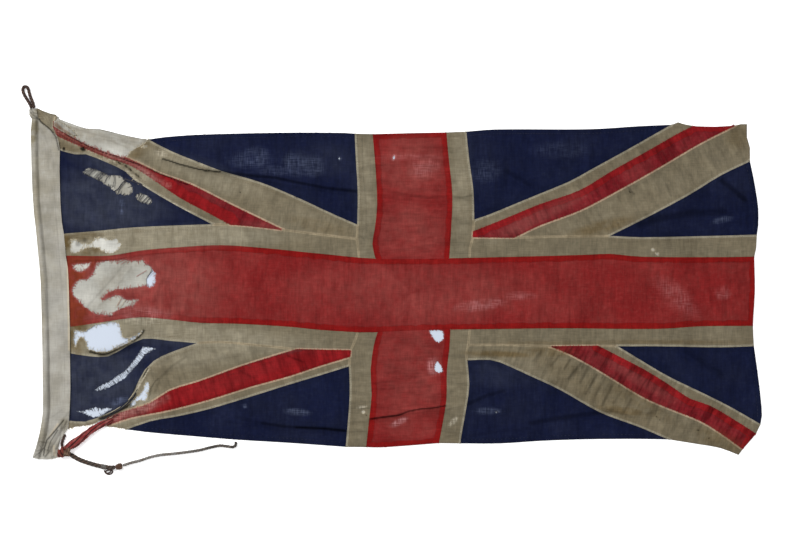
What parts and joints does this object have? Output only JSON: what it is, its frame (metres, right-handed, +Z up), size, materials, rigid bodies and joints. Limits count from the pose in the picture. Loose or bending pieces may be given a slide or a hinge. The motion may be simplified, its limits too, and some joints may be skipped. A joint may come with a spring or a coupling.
{
  "type": "tattered sewn wool flag, laid flat",
  "caption": "Worn sewn wool flag lying flat, red, white and blue crosses, with torn hoist, canvas heading, rope becket, knot and rope tail.",
  "frame": {"origin": "on the surface that the flag lies on, under the middle of the red cross", "axes": "+Z up, away from the surface; +X from the hoist to the fly; +Y towards the flag's top edge"},
  "size_m": [1.4578, 0.7672, 0.0223],
  "materials": {
    "navy_wool": "matt dark blue wool bunting, greyed at the hoist",
    "white_wool": "matt white wool bunting, yellowed and dusty",
    "red_wool": "matt red wool bunting, worn thin, brighter where doubled",
    "stained_wool": "white wool bunting stained brown",
    "heading_canvas": "off-white canvas, creased and soiled",
    "tab_canvas": "greyish canvas",
    "patch_canvas": "cream canvas, clean and creased",
    "dark_rope": "dark brown laid rope, oily",
    "tail_rope": "grey-brown laid rope, dry"
  },
  "bodies": {
    "root": {"arm_border_lower_left": "white_wool", "arm_border_lower_right": "white_wool", "arm_border_upper_left": "white_wool", "arm_border_upper_right": "white_wool", "backing_patch": "patch_canvas", "becket": "dark_rope", "border_lower_fly": "white_wool", "border_lower_hoist": "white_wool", "border_upper_fly": "white_wool", "border_upper_hoist": "white_wool", "corner_tab": "tab_canvas", "heading": "heading_canvas", "narrow_white_lower_fly": "white_wool", "narrow_white_lower_hoist": "white_wool", "narrow_white_upper_fly": "white_wool", "narrow_white_upper_hoist": "white_wool", "navy_lower_fly_inner": "navy_wool", "navy_lower_fly_outer": "navy_wool", "navy_lower_hoist_inner": "navy_wool", "navy_lower_hoist_outer": "navy_wool", "navy_upper_fly_inner": "navy_wool", "navy_upper_fly_outer": "navy_wool", "navy_upper_hoist_inner": "navy_wool", "navy_upper_hoist_outer": "navy_wool", "red_arm_lower": "red_wool", "red_arm_upper": "red_wool", "red_cross_band": "red_wool", "red_strip_lower_fly": "red_wool", "red_strip_lower_hoist": "red_wool", "red_strip_upper_fly": "red_wool", "red_strip_upper_hoist": "red_wool", "rope_tail": "tail_rope", "seizing": "tail_rope", "sleeve_rope": "dark_rope", "stained_rag": "stained_wool", "thin_cord": "tail_rope", "twine_ring": "tail_rope", "wide_white_lower_fly": "white_wool", "wide_white_lower_hoist": "white_wool", "wide_white_upper_fly": "white_wool", "wide_white_upper_hoist": "white_wool"}
  },
  "joints": []
}
